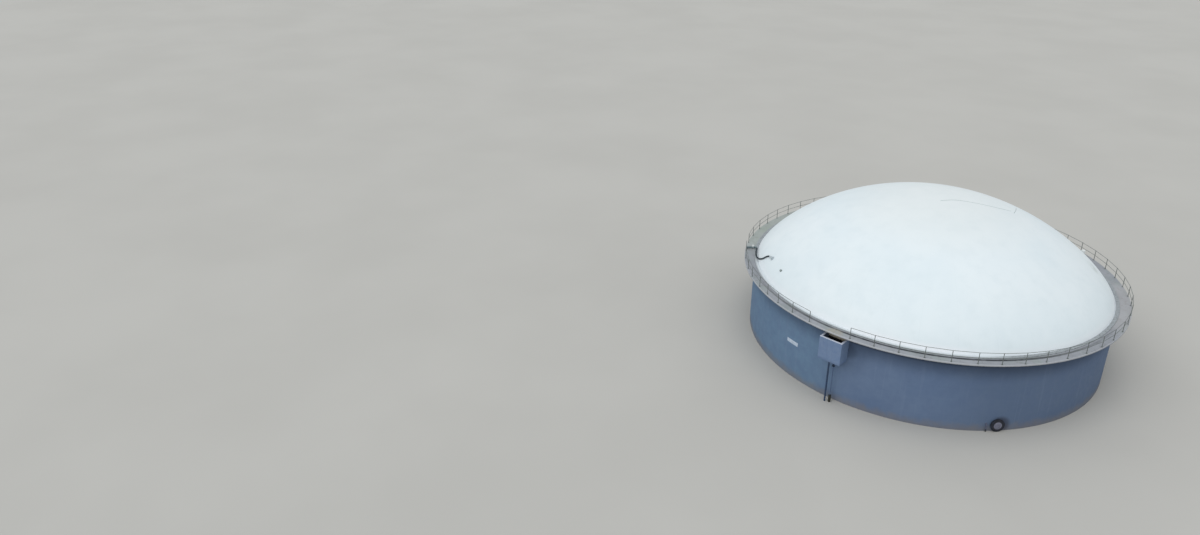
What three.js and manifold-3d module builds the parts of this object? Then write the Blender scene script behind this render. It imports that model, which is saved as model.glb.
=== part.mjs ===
// Biogas digester: a round concrete tank with a cantilevered walkway, a railing and a
// low gas dome of coated fabric, with its overflow box, pipes, manhole and dome fittings.
// Millimetres, +Z up. The origin is on the ground at the tank's axis. The overflow box faces -Y.
// Angles are in degrees about +Z, counted from +X.

import * as THREE from 'three';
import { mergeVertices } from 'three/addons/utils/BufferGeometryUtils.js';
import Module from 'manifold-3d';

const wasm = await Module();
wasm.setup();

// General
const GAP = 0.3;
const FACETS = 112;
const FACET_ANGLE = 360 / FACETS;
const FIRST_FACET = -90;
const GRID = 64;
const MERGE_DISTANCE = 1e-3;
const ANGLE_TOLERANCE = 1e-6;
const CUT_MARGIN = 60;
const ROUND_SIDES = 24;

// Tank
const WALL_RADIUS = 14400;
const WALL_THICKNESS = 400;
const INNER_RADIUS = WALL_RADIUS - WALL_THICKNESS;
const FLOOR_THICKNESS = 300;
const SECTORS = 8;
const SECTOR_ANGLE = 360 / SECTORS;
const FIRST_JOINT = -112.5;

// Walkway
const WALKWAY_RADIUS = 15280;
const WALKWAY_TOP = 6130;
const WALKWAY_THICKNESS = 150;
const WALL_TOP = WALKWAY_TOP - WALKWAY_THICKNESS - GAP;

// Railing
const POST_COUNT = 56;
const POST_PITCH = 360 / POST_COUNT;
const FIRST_POST = -84.73;
// Degrees by which a post stands off its even place on the circle, by the post's number
const POST_SHIFTS = {
  0: -0.4, 1: -0.1, 3: 0.1, 4: 0.3, 5: 0.5, 6: 0.3, 7: 0.1, 8: -0.3, 9: -0.1, 10: 0.3,
  11: 0.6, 12: 0.4, 13: 0.7, 48: 1.2, 49: 0.4, 50: 0.9, 51: -0.2, 52: -0.8, 53: -0.7, 54: -0.5,
};
const POST_EDGE_DISTANCE = 80;
const POST_CIRCLE = WALKWAY_RADIUS - POST_EDGE_DISTANCE;
const RAIL_HEIGHT = 900;
const POST_RADIUS = 24;
const POST_SIDES = 8;
const RAIL_RADIUS = 17;
const RAIL_SIDES = 8;
const POST_CAP = 5;
const LONG_RUN_POSTS = 46;
const LONG_RUN_SECTIONS = 7;
const SHORT_RUN_LAST = 54;

// Dome
const DOME_RADIUS = 14150;
const DOME_RISE = 6480;
const DOME_POWER = 0.81;
const DOME_SHELL = 80;
const DOME_BASE = WALKWAY_TOP + GAP;
const DOME_RINGS = [1, 0.994, 0.975, 0.945, 0.9, 0.84, 0.76, 0.66, 0.54, 0.4, 0.25, 0.1];
const SLOPE_STEP = 5;

// Clamp ring that holds the fabric's edge down
const CLAMP_INNER = 14180;
const CLAMP_OUTER = 14450;
const CLAMP_HEIGHT = 70;

// Overflow box
const BOX_WIDTH = 1840;
const BOX_FRONT = 15488;
const BOX_BOTTOM = 3744;
const BOX_TOP = 5610;
const BOX_WALL = 155;

// Pipes under the overflow box
const OVERFLOW_PIPE = { x: -160, y: -15020, radius: 75 };
const DRAIN = { x: 155, y: -14870, radius: 32, flangeRadius: 110, flangeThickness: 36 };
const DRAIN_VALVE_Z = 3150;
const DRAIN_VALVE_LENGTH = 250;
const DRAIN_VALVE_RADIUS = 78;
const SOCKET_RADIUS = 105;
const SOCKET_HEIGHT = 600;

// Name plate on the wall
const PLATE_FROM = -108.9;
const PLATE_TO = -104.1;
const PLATE_BOTTOM = 2860;
const PLATE_TOP = 3180;
const PLATE_THICKNESS = 8;

// Manhole
const MANHOLE_ANGLE = -41.95;
const MANHOLE_Z = 540;
const NECK_RADIUS = 430;
const NECK_REACH = 120;
const NECK_FLANGE_RADIUS = 520;
const NECK_FLANGE_THICKNESS = 45;
const COVER_RADIUS = 300;
const COVER_THICKNESS = 45;
const COVER_BOSS_RADIUS = 75;
const COVER_BOSS_THICKNESS = 35;
const MANHOLE_SIDES = 32;

// Short pipe at the wall's foot
const FOOT_PIPE_FACING = FIRST_FACET + 13.5 * FACET_ANGLE;
const FOOT_PIPE_SIDEWAYS = 370;
const FOOT_PIPE_RADIUS = 40;
const FOOT_PIPE_REACH = 100;
const FOOT_PIPE_Z = 640;
const FOOT_PIPE_BEND = 80;
const FOOT_PIPE_SIDES = 12;
const FOOT_PIPE_STEPS = 20;

// Gas pipe across the walkway, with an elbow that lies on the clamp ring
const GAS_PIPE_RADIUS = 80;
const GAS_FLANGE_RADIUS = 140;
const GAS_FLANGE_THICKNESS = 24;
const GAS_PIPE_X = -13184;
const GAS_PIPE_Y = -7586;
const GAS_PIPE_Z = WALKWAY_TOP + CLAMP_HEIGHT + GAP + GAS_PIPE_RADIUS;
const GAS_PIPE_HEADING = 44.5;
const GAS_PIPE_STRAIGHT = 700;
const ELBOW_BEND = 180;
const ELBOW_TURN = 104.1;
const ELBOW_POINTS = 8;
const ELBOW_COLLAR = 30;
const GAS_PIPE_SIDES = 16;
const GAS_PIPE_STEPS = 24;
const GAS_VALVE_RADIUS = 95;
const GAS_VALVE_HEIGHT = 220;
const GAS_VALVE_DISTANCE = 580;

// Gas spigot on the dome, with a side stub for the hose
const SPIGOT = { radius: 13312, angle: -133.1, size: 75, height: 160, flange: 115, flangeThickness: 26 };
const STUB = { lift: 100, radius: 60, reach: 420, collar: 73, collarThickness: 24 };

// Gas hose: its route over the clamp ring as radius, angle and the height of its axis over
// the ring, then over the dome as radius, angle and the height of its axis over the fabric
const HOSE_RADIUS = 60;
const HOSE_SIDES = 12;
const HOSE_STEPS = 20;
const HOSE_STRAIGHT = 120;
const HOSE_ON_RING = [
  [14307, -148.4, 80],
  [14310, -147.55, 77],
  [14309, -146.7, 74],
  [14307, -145.8, 72],
  [14299, -144.85, 72],
  [14284, -144.0, 73],
  [14258, -143.2, 76],
];
const HOSE_ON_DOME = [
  [14104, -141.9, 72],
  [14065, -140.9, 69],
  [14013, -140.0, 67],
  [13946, -139.15, 66],
  [13870, -138.45, 66],
  [13793, -137.9, 66],
  [13713, -137.5, 66],
  [13632, -137.15, 66],
  [13559, -136.85, 66],
  [13498, -136.45, 66],
  [13451, -136.05, 67],
  [13415, -135.55, 69],
];

// Fittings on the dome and beside it
const PORT = { radius: 13333, angle: -123.26, size: 70, height: 80, flange: 88, flangeThickness: 18 };
const VENT = { radius: 14800, angle: 54, size: 90, height: 330, cap: 175, capHeight: 220 };
const FITTING_SUNK = 120;

const radians = THREE.MathUtils.degToRad;
const ring = (radius, angle, z) =>
  new THREE.Vector3(radius * Math.cos(radians(angle)), radius * Math.sin(radians(angle)), z);

// Radius of the faceted circle with the given corner radius, at one angle
function facetRadius(cornerRadius, angle) {
  const turned = (((angle - FIRST_FACET) % FACET_ANGLE) + FACET_ANGLE) % FACET_ANGLE;
  const fromMiddle = turned - FACET_ANGLE / 2;
  return (cornerRadius * Math.cos(radians(FACET_ANGLE / 2))) / Math.cos(radians(fromMiddle));
}

// Angles of an arc: both ends, and the facet corners between them
function arcAngles(from, to) {
  const angles = [from];
  const first = Math.floor((from - FIRST_FACET) / FACET_ANGLE + ANGLE_TOLERANCE) + 1;
  for (let i = first; FIRST_FACET + i * FACET_ANGLE < to - ANGLE_TOLERANCE; i += 1) {
    angles.push(FIRST_FACET + i * FACET_ANGLE);
  }
  angles.push(to);
  return angles;
}

// Rounds positions to a fine grid, so that shared corners stay exactly shared
function snap(geometry) {
  const position = geometry.attributes.position;
  for (let i = 0; i < position.array.length; i += 1) {
    position.array[i] = Math.round(position.array[i] * GRID) / GRID;
  }
  return geometry;
}

function solidOf(geometry) {
  const bare = new THREE.BufferGeometry();
  bare.setAttribute('position', geometry.attributes.position.clone());
  if (geometry.index) {
    bare.setIndex(geometry.index.clone());
  }
  const merged = mergeVertices(bare, MERGE_DISTANCE);
  const mesh = new wasm.Mesh({
    numProp: 3,
    vertProperties: new Float32Array(merged.attributes.position.array),
    triVerts: new Uint32Array(merged.index.array),
  });
  return new wasm.Manifold(mesh);
}

function geometryOf(solid) {
  const mesh = solid.getMesh();
  const geometry = new THREE.BufferGeometry();
  geometry.setAttribute('position', new THREE.BufferAttribute(new Float32Array(mesh.vertProperties), 3));
  geometry.setIndex(new THREE.BufferAttribute(new Uint32Array(mesh.triVerts), 1));
  const flat = geometry.toNonIndexed();
  flat.computeVertexNormals();
  return flat;
}

function join(geometries) {
  return geometryOf(geometries.map(solidOf).reduce((whole, piece) => whole.add(piece)));
}

function cut(geometry, cutter) {
  return geometryOf(solidOf(geometry).subtract(solidOf(cutter)));
}

// Flat slab from a closed outline, between two heights
function slab(points, bottom, top) {
  const geometry = new THREE.ExtrudeGeometry(new THREE.Shape(points), {
    depth: top - bottom,
    bevelEnabled: false,
  });
  geometry.translate(0, 0, bottom);
  return snap(geometry);
}

// Part of a faceted ring, with a small gap at each end
function sector(inner, outer, bottom, top, from, to) {
  const point = (corner, angle, side) => {
    const spot = ring(facetRadius(corner, angle), angle, 0);
    const shift = side * (GAP / 2);
    return new THREE.Vector2(
      spot.x - shift * Math.sin(radians(angle)),
      spot.y + shift * Math.cos(radians(angle)),
    );
  };
  const angles = arcAngles(from, to);
  const side = (index) => (index === 0 ? 1 : 0) - (index === angles.length - 1 ? 1 : 0);
  const outerEdge = angles.map((angle, index) => point(outer, angle, side(index)));
  const innerEdge = angles.map((angle, index) => point(inner, angle, side(index)));
  return slab([...outerEdge, ...innerEdge.reverse()], bottom, top);
}

function disc(corner, bottom, top) {
  const points = [];
  for (let i = 0; i < FACETS; i += 1) {
    const spot = ring(corner, FIRST_FACET + i * FACET_ANGLE, 0);
    points.push(new THREE.Vector2(spot.x, spot.y));
  }
  return slab(points, bottom, top);
}

function fullRing(inner, outer, bottom, top) {
  return cut(disc(outer, bottom, top), disc(inner, bottom - CUT_MARGIN, top + CUT_MARGIN));
}

function block(x0, x1, y0, y1, z0, z1) {
  const geometry = new THREE.BoxGeometry(x1 - x0, y1 - y0, z1 - z0);
  geometry.translate((x0 + x1) / 2, (y0 + y1) / 2, (z0 + z1) / 2);
  return snap(geometry);
}

// Turned solid along +Z from radius and height pairs that start and end on the axis
function turned(profile, sides = ROUND_SIDES) {
  const points = profile.map(([radius, z]) => new THREE.Vector2(radius, z));
  const geometry = new THREE.LatheGeometry(points, sides);
  geometry.rotateX(Math.PI / 2);
  return snap(geometry);
}

function rod(radius, bottom, top, sides = ROUND_SIDES) {
  return turned([[0, bottom], [radius, bottom], [radius, top], [0, top]], sides);
}

// Moves a solid made along +Z so that it starts at a point and runs along a direction
function aim(geometry, start, direction) {
  const turn = new THREE.Quaternion().setFromUnitVectors(
    new THREE.Vector3(0, 0, 1),
    direction.clone().normalize(),
  );
  geometry.applyQuaternion(turn);
  geometry.translate(start.x, start.y, start.z);
  return snap(geometry);
}

function sweep(path, radius, sides, steps) {
  const outline = new THREE.Shape();
  for (let i = 0; i < sides; i += 1) {
    const angle = (2 * Math.PI * i) / sides;
    const x = radius * Math.cos(angle);
    const y = radius * Math.sin(angle);
    if (i === 0) {
      outline.moveTo(x, y);
    } else {
      outline.lineTo(x, y);
    }
  }
  const geometry = new THREE.ExtrudeGeometry(outline, {
    steps,
    bevelEnabled: false,
    extrudePath: path,
  });
  return snap(geometry);
}

// Dome shape: height over its base at one radius, and the outward direction there
const domeHeight = (radius) =>
  DOME_RISE * Math.max(0, 1 - (radius / DOME_RADIUS) ** 2) ** DOME_POWER;

function domeNormal(radius, angle) {
  const rise = domeHeight(radius + SLOPE_STEP) - domeHeight(radius - SLOPE_STEP);
  const flat = new THREE.Vector2(-rise, 2 * SLOPE_STEP).normalize();
  return ring(flat.x, angle, flat.y);
}

function domePoint(radius, angle, lift) {
  return ring(radius, angle, DOME_BASE + domeHeight(radius)).addScaledVector(
    domeNormal(radius, angle),
    lift,
  );
}

function domeProfile(offset) {
  const radius = DOME_RADIUS + offset;
  const rise = DOME_RISE + offset;
  const points = DOME_RINGS.map((share) => [
    radius * share,
    DOME_BASE + rise * (1 - share ** 2) ** DOME_POWER,
  ]);
  points.push([0, DOME_BASE + rise]);
  return points;
}

const COLOURS = {
  wallPaint: 0x5c6c83,
  boxPaint: 0x647691,
  concrete: 0x979c9d,
  floorConcrete: 0x8a8c8a,
  galvanised: 0x7f8a86,
  membrane: 0xdce7ec,
  clamp: 0x989da0,
  darkPipe: 0x2c3a50,
  socket: 0x33322f,
  plate: 0xa6b8d0,
  neck: 0x2a3345,
  cover: 0x6a6c7a,
  gasPipe: 0x55646a,
  white: 0xe2e6e6,
  hose: 0x2c363c,
  spigot: 0x93a0a5,
  port: 0x6b7478,
};

const FINISH = {
  paint: { roughness: 0.75, metalness: 0 },
  concrete: { roughness: 0.95, metalness: 0 },
  fabric: { roughness: 0.55, metalness: 0 },
  metal: { roughness: 0.5, metalness: 0.6 },
  paintedMetal: { roughness: 0.55, metalness: 0.1 },
};

const digester = new THREE.Group();
digester.name = 'biogas_digester';

function add(parent, name, geometry, colour, finish) {
  const material = new THREE.MeshStandardMaterial({ color: colour, ...finish });
  material.name = name;
  const mesh = new THREE.Mesh(geometry, material);
  mesh.name = name;
  parent.add(mesh);
  return mesh;
}

// Tank shell: floor, wall sectors and the walkway sectors on top of them
const tank = new THREE.Group();
tank.name = 'tank';
digester.add(tank);
const floor = disc(INNER_RADIUS - GAP, 0, FLOOR_THICKNESS);
add(tank, 'floor_slab', floor, COLOURS.floorConcrete, FINISH.concrete);
for (let i = 0; i < SECTORS; i += 1) {
  const from = FIRST_JOINT + i * SECTOR_ANGLE;
  const to = from + SECTOR_ANGLE;
  const wall = sector(INNER_RADIUS, WALL_RADIUS, 0, WALL_TOP, from, to);
  add(tank, `wall_${i + 1}`, wall, COLOURS.wallPaint, FINISH.paint);
  const deck = sector(INNER_RADIUS, WALKWAY_RADIUS, WALL_TOP + GAP, WALKWAY_TOP, from, to);
  add(tank, `walkway_${i + 1}`, deck, COLOURS.concrete, FINISH.concrete);
}

// Railing: posts on one circle with two straight rails from post to post
const railing = new THREE.Group();
railing.name = 'railing';
digester.add(railing);
const postAngle = (index) => FIRST_POST + index * POST_PITCH + (POST_SHIFTS[index] ?? 0);
const postFoot = WALKWAY_TOP + GAP;
const postInradius = POST_RADIUS * Math.cos(Math.PI / POST_SIDES);

function post(index) {
  const geometry = rod(POST_RADIUS, 0, RAIL_HEIGHT + POST_CAP - GAP, POST_SIDES);
  geometry.rotateZ(radians(postAngle(index)) + Math.PI / POST_SIDES);
  const foot = ring(POST_CIRCLE, postAngle(index), postFoot);
  geometry.translate(foot.x, foot.y, foot.z);
  return snap(geometry);
}

function rail(index, height, stopShort) {
  const start = ring(POST_CIRCLE, postAngle(index), WALKWAY_TOP + height);
  const end = ring(POST_CIRCLE, postAngle(index + 1), WALKWAY_TOP + height);
  const run = end.clone().sub(start);
  const length = run.length() - (stopShort ? postInradius + 2 * GAP : 0);
  return aim(rod(RAIL_RADIUS, 0, length, RAIL_SIDES), start, run);
}

function railingSection(first, last, reachesNext) {
  const pieces = [];
  for (let i = first; i <= last; i += 1) {
    pieces.push(post(i));
    if (i < last || reachesNext) {
      for (const height of [RAIL_HEIGHT - RAIL_RADIUS, RAIL_HEIGHT / 2]) {
        pieces.push(rail(i, height, i === last));
      }
    }
  }
  return join(pieces);
}

for (let i = 0; i < LONG_RUN_SECTIONS; i += 1) {
  const first = Math.round((i * LONG_RUN_POSTS) / LONG_RUN_SECTIONS);
  const last = Math.round(((i + 1) * LONG_RUN_POSTS) / LONG_RUN_SECTIONS) - 1;
  const section = railingSection(first, last, last < LONG_RUN_POSTS - 1);
  add(railing, `railing_${i + 1}`, section, COLOURS.galvanised, FINISH.metal);
}
const shortRun = railingSection(LONG_RUN_POSTS, SHORT_RUN_LAST, false);
add(railing, `railing_${LONG_RUN_SECTIONS + 1}`, shortRun, COLOURS.galvanised, FINISH.metal);

// Gas dome and the ring that clamps its edge
const gasHolder = new THREE.Group();
gasHolder.name = 'gas_holder';
digester.add(gasHolder);
const shell = turned([...domeProfile(-DOME_SHELL).reverse(), ...domeProfile(0)], FACETS);
add(gasHolder, 'membrane_dome', shell, COLOURS.membrane, FINISH.fabric);
const clamp = fullRing(CLAMP_INNER, CLAMP_OUTER, WALKWAY_TOP + GAP, WALKWAY_TOP + CLAMP_HEIGHT);
add(gasHolder, 'clamp_ring', clamp, COLOURS.clamp, FINISH.paintedMetal);

// Solid dome a little larger than the shell, to trim the feet of the dome's fittings
const domeTrim = turned([[0, DOME_BASE], ...domeProfile(GAP)], FACETS);

function domeFitting(fitting) {
  const foot = domePoint(fitting.radius, fitting.angle, -FITTING_SUNK);
  const neckTop = FITTING_SUNK + fitting.height;
  const flangeTop = neckTop + fitting.flangeThickness;
  const body = turned([
    [0, 0],
    [fitting.size, 0],
    [fitting.size, neckTop],
    [fitting.flange, neckTop],
    [fitting.flange, flangeTop],
    [0, flangeTop],
  ]);
  return cut(aim(body, foot, domeNormal(fitting.radius, fitting.angle)), domeTrim);
}

const onDome = HOSE_ON_DOME.map(([radius, angle, lift]) => domePoint(radius, angle, lift));
const stubStart = domePoint(SPIGOT.radius, SPIGOT.angle, STUB.lift);
const stubOut = onDome.at(-1).clone().sub(stubStart).normalize();
const stub = aim(
  turned([
    [0, 0],
    [STUB.radius, 0],
    [STUB.radius, STUB.reach - STUB.collarThickness],
    [STUB.collar, STUB.reach - STUB.collarThickness],
    [STUB.collar, STUB.reach],
    [0, STUB.reach],
  ]),
  stubStart,
  stubOut,
);
add(gasHolder, 'gas_spigot', join([domeFitting(SPIGOT), stub]), COLOURS.spigot, FINISH.paintedMetal);
add(gasHolder, 'dome_port', domeFitting(PORT), COLOURS.port, FINISH.paintedMetal);

// Vent on the walkway behind the dome
const vent = turned([
  [0, 0],
  [VENT.size, 0],
  [VENT.size, VENT.height],
  [VENT.cap, VENT.height],
  [VENT.cap, VENT.height + VENT.capHeight],
  [0, VENT.height + VENT.capHeight],
]);
const ventMesh = add(gasHolder, 'vent', vent, COLOURS.white, FINISH.paintedMetal);
ventMesh.position.copy(ring(VENT.radius, VENT.angle, WALKWAY_TOP + GAP));

// Gas pipe with its elbow and its valve, and the hose up to the dome
const gasLine = new THREE.Group();
gasLine.name = 'gas_line';
digester.add(gasLine);
const pipeStart = new THREE.Vector3(GAS_PIPE_X, GAS_PIPE_Y, GAS_PIPE_Z);
const pipeOut = ring(1, GAS_PIPE_HEADING, 0);
const pipeSide = ring(1, GAS_PIPE_HEADING - 90, 0);
const elbowOut = ring(1, GAS_PIPE_HEADING - ELBOW_TURN, 0);
const elbowStart = pipeStart.clone().addScaledVector(pipeOut, GAS_PIPE_STRAIGHT);
const elbowLine = [];
for (let i = 0; i <= ELBOW_POINTS; i += 1) {
  const turn = radians((ELBOW_TURN * i) / ELBOW_POINTS);
  elbowLine.push(
    elbowStart
      .clone()
      .addScaledVector(pipeOut, ELBOW_BEND * Math.sin(turn))
      .addScaledVector(pipeSide, ELBOW_BEND * (1 - Math.cos(turn))),
  );
}
const elbowEnd = elbowLine.at(-1);
const insideFlange = GAS_FLANGE_THICKNESS / 2;
const gasPath = new THREE.CurvePath();
gasPath.add(new THREE.LineCurve3(pipeStart.clone().addScaledVector(pipeOut, insideFlange), elbowStart));
gasPath.add(new THREE.CatmullRomCurve3(elbowLine));
gasPath.add(new THREE.LineCurve3(elbowEnd, elbowEnd.clone().addScaledVector(elbowOut, ELBOW_COLLAR / 2)));
const gasPipe = join([
  sweep(gasPath, GAS_PIPE_RADIUS, GAS_PIPE_SIDES, GAS_PIPE_STEPS),
  aim(rod(GAS_FLANGE_RADIUS, 0, GAS_FLANGE_THICKNESS), pipeStart, pipeOut),
  aim(rod(GAS_PIPE_RADIUS, 0, ELBOW_COLLAR), elbowEnd, elbowOut),
]);
add(gasLine, 'gas_pipe', gasPipe, COLOURS.gasPipe, FINISH.paintedMetal);

const valveFoot = pipeStart.clone().addScaledVector(pipeOut, GAS_VALVE_DISTANCE);
const valveBody = aim(rod(GAS_VALVE_RADIUS, 0, GAS_VALVE_HEIGHT), valveFoot, new THREE.Vector3(0, 0, 1));
const trimRadius = (GAS_PIPE_RADIUS + GAP) / Math.cos(Math.PI / ROUND_SIDES);
const pipeTrim = aim(rod(trimRadius, 0, GAS_PIPE_STRAIGHT), pipeStart, pipeOut);
add(gasLine, 'gas_valve', cut(valveBody, pipeTrim), COLOURS.white, FINISH.paintedMetal);

const hoseStart = elbowEnd.clone().addScaledVector(elbowOut, ELBOW_COLLAR + GAP);
const hoseEnd = stubStart.clone().addScaledVector(stubOut, STUB.reach + GAP);
const hosePath = new THREE.CatmullRomCurve3([
  hoseStart,
  hoseStart.clone().addScaledVector(elbowOut, HOSE_STRAIGHT),
  ...HOSE_ON_RING.map(([radius, angle, lift]) => ring(radius, angle, WALKWAY_TOP + CLAMP_HEIGHT + lift)),
  ...onDome,
  hoseEnd.clone().addScaledVector(stubOut, HOSE_STRAIGHT),
  hoseEnd,
], false, 'catmullrom', 0.5);
const hose = sweep(hosePath, HOSE_RADIUS, HOSE_SIDES, HOSE_STEPS);
add(gasLine, 'gas_hose', hose, COLOURS.hose, FINISH.fabric);

// Overflow box on the wall, open at the top, with its two pipes down to the ground
const overflow = new THREE.Group();
overflow.name = 'overflow';
digester.add(overflow);
const halfWidth = BOX_WIDTH / 2;
const boxBody = block(-halfWidth, halfWidth, -BOX_FRONT, -INNER_RADIUS, BOX_BOTTOM, BOX_TOP);
const boxInside = block(
  -halfWidth + BOX_WALL,
  halfWidth - BOX_WALL,
  -BOX_FRONT + BOX_WALL,
  -INNER_RADIUS + CUT_MARGIN,
  BOX_BOTTOM + BOX_WALL,
  BOX_TOP + CUT_MARGIN,
);
const wallTrim = disc(WALL_RADIUS + GAP, 0, WALL_TOP);
add(overflow, 'overflow_box', cut(cut(boxBody, boxInside), wallTrim), COLOURS.boxPaint, FINISH.paint);

const downPipe = rod(OVERFLOW_PIPE.radius, 0, BOX_BOTTOM - GAP);
const downPipeMesh = add(overflow, 'overflow_pipe', downPipe, COLOURS.darkPipe, FINISH.paintedMetal);
downPipeMesh.position.set(OVERFLOW_PIPE.x, OVERFLOW_PIPE.y, 0);

const valveTop = DRAIN_VALVE_Z + DRAIN_VALVE_LENGTH;
const drain = turned([
  [0, SOCKET_HEIGHT + GAP],
  [DRAIN.radius, SOCKET_HEIGHT + GAP],
  [DRAIN.radius, DRAIN_VALVE_Z],
  [DRAIN.flangeRadius, DRAIN_VALVE_Z],
  [DRAIN.flangeRadius, DRAIN_VALVE_Z + DRAIN.flangeThickness],
  [DRAIN_VALVE_RADIUS, DRAIN_VALVE_Z + DRAIN.flangeThickness],
  [DRAIN_VALVE_RADIUS, valveTop - DRAIN.flangeThickness],
  [DRAIN.flangeRadius, valveTop - DRAIN.flangeThickness],
  [DRAIN.flangeRadius, valveTop],
  [DRAIN.radius, valveTop],
  [DRAIN.radius, BOX_BOTTOM - GAP],
  [0, BOX_BOTTOM - GAP],
]);
const drainMesh = add(overflow, 'drain_pipe', drain, COLOURS.darkPipe, FINISH.paintedMetal);
drainMesh.position.set(DRAIN.x, DRAIN.y, 0);
const socket = rod(SOCKET_RADIUS, 0, SOCKET_HEIGHT);
const socketMesh = add(overflow, 'drain_socket', socket, COLOURS.socket, FINISH.paintedMetal);
socketMesh.position.set(DRAIN.x, DRAIN.y, 0);

// Fittings on the wall: bare name plate, manhole and short foot pipe
const fittings = new THREE.Group();
fittings.name = 'wall_fittings';
digester.add(fittings);
const plateFace = WALL_RADIUS + GAP;
const plate = sector(plateFace, plateFace + PLATE_THICKNESS, PLATE_BOTTOM, PLATE_TOP, PLATE_FROM, PLATE_TO);
add(fittings, 'name_plate', plate, COLOURS.plate, FINISH.paint);

const manholeOut = ring(1, MANHOLE_ANGLE, 0);
const neckStart = (INNER_RADIUS + WALL_RADIUS) / 2;
const neckFlange = WALL_RADIUS + NECK_REACH - neckStart;
const neckEnd = neckFlange + NECK_FLANGE_THICKNESS;
const neck = aim(
  turned([
    [0, 0],
    [NECK_RADIUS, 0],
    [NECK_RADIUS, neckFlange],
    [NECK_FLANGE_RADIUS, neckFlange],
    [NECK_FLANGE_RADIUS, neckEnd],
    [0, neckEnd],
  ], MANHOLE_SIDES),
  ring(neckStart, MANHOLE_ANGLE, MANHOLE_Z),
  manholeOut,
);
add(fittings, 'manhole_neck', cut(neck, wallTrim), COLOURS.neck, FINISH.paintedMetal);
const cover = aim(
  turned([
    [0, 0],
    [COVER_RADIUS, 0],
    [COVER_RADIUS, COVER_THICKNESS],
    [COVER_BOSS_RADIUS, COVER_THICKNESS],
    [COVER_BOSS_RADIUS, COVER_THICKNESS + COVER_BOSS_THICKNESS],
    [0, COVER_THICKNESS + COVER_BOSS_THICKNESS],
  ], MANHOLE_SIDES),
  ring(neckStart + neckEnd + GAP, MANHOLE_ANGLE, MANHOLE_Z),
  manholeOut,
);
add(fittings, 'manhole_cover', cover, COLOURS.cover, FINISH.paintedMetal);

const footFlatRadius = WALL_RADIUS * Math.cos(radians(FACET_ANGLE / 2));
const footSpot = (reach, z) =>
  ring(footFlatRadius + reach, FOOT_PIPE_FACING, z).addScaledVector(
    ring(1, FOOT_PIPE_FACING + 90, 0),
    FOOT_PIPE_SIDEWAYS,
  );
const footBendStart = footSpot(FOOT_PIPE_REACH - FOOT_PIPE_BEND, FOOT_PIPE_Z);
const footBendEnd = footSpot(FOOT_PIPE_REACH, FOOT_PIPE_Z - FOOT_PIPE_BEND);
const footPipePath = new THREE.CurvePath();
footPipePath.add(new THREE.LineCurve3(footSpot(GAP, FOOT_PIPE_Z), footBendStart));
const footCorner = footSpot(FOOT_PIPE_REACH, FOOT_PIPE_Z);
footPipePath.add(new THREE.QuadraticBezierCurve3(footBendStart, footCorner, footBendEnd));
footPipePath.add(new THREE.LineCurve3(footBendEnd, footSpot(FOOT_PIPE_REACH, 0)));
const footPipe = sweep(footPipePath, FOOT_PIPE_RADIUS, FOOT_PIPE_SIDES, FOOT_PIPE_STEPS);
add(fittings, 'foot_pipe', footPipe, COLOURS.darkPipe, FINISH.paintedMetal);

export default digester;
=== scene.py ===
"""Looks of the biogas digester: a round painted concrete tank with a railed walkway, a white
fabric gas dome, an overflow box with pipes, a manhole and a gas line. Metres, +Z up, angles in
degrees about +Z."""

import math

import bpy
from mathutils import Matrix, Vector


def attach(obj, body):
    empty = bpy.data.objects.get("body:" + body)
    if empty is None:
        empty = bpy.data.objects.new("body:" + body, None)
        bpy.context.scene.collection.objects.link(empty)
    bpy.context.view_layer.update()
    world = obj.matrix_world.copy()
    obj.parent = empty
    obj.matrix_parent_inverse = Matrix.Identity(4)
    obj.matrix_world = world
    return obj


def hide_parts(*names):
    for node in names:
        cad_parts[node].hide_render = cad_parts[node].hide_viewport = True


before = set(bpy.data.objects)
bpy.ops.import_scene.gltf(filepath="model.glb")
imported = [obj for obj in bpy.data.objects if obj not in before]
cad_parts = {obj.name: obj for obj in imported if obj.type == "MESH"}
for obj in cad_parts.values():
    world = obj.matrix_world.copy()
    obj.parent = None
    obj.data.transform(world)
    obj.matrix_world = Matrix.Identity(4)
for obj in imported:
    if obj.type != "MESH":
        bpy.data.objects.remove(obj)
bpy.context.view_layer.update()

# Main sizes, as in the solids
GAP = 0.0003
WALL_RADIUS = 14.4
INNER_RADIUS = 14.0
SECTORS = 8
FIRST_JOINT = -112.5
WALKWAY_RADIUS = 15.28
WALKWAY_TOP = 6.13
WALKWAY_THICKNESS = 0.15
WALL_TOP = WALKWAY_TOP - WALKWAY_THICKNESS - GAP
DECK = WALKWAY_TOP + GAP

POST_PITCH = 360 / 56
FIRST_POST = -84.73
# Degrees by which a post stands off its even place on the circle, by the post's number
POST_SHIFTS = {
    0: -0.4, 1: -0.1, 3: 0.1, 4: 0.3, 5: 0.5, 6: 0.3, 7: 0.1, 8: -0.3, 9: -0.1, 10: 0.3,
    11: 0.6, 12: 0.4, 13: 0.7, 48: 1.2, 49: 0.4, 50: 0.9, 51: -0.2, 52: -0.8, 53: -0.7, 54: -0.5,
}
POST_CIRCLE = 15.2
POST_RADIUS = 0.024
RAIL_RADIUS = 0.017
RAIL_HEIGHT = 0.9
LONG_RUN_POSTS = 46
LONG_RUN_SECTIONS = 7
SHORT_RUN_LAST = 54

DOME_RADIUS = 14.15
DOME_RISE = 6.48
DOME_POWER = 0.81
DOME_SHELL = 0.08
CLAMP_INNER = 14.18
CLAMP_OUTER = 14.45
CLAMP_TOP = WALKWAY_TOP + 0.07

BOX_HALF = 0.92
BOX_FRONT = -15.488
BOX_BOTTOM = 3.744
BOX_TOP = 5.61
BOX_WALL = 0.155
CHAMBER_HALF = BOX_HALF - BOX_WALL
CHAMBER_FRONT = BOX_FRONT + BOX_WALL

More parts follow.
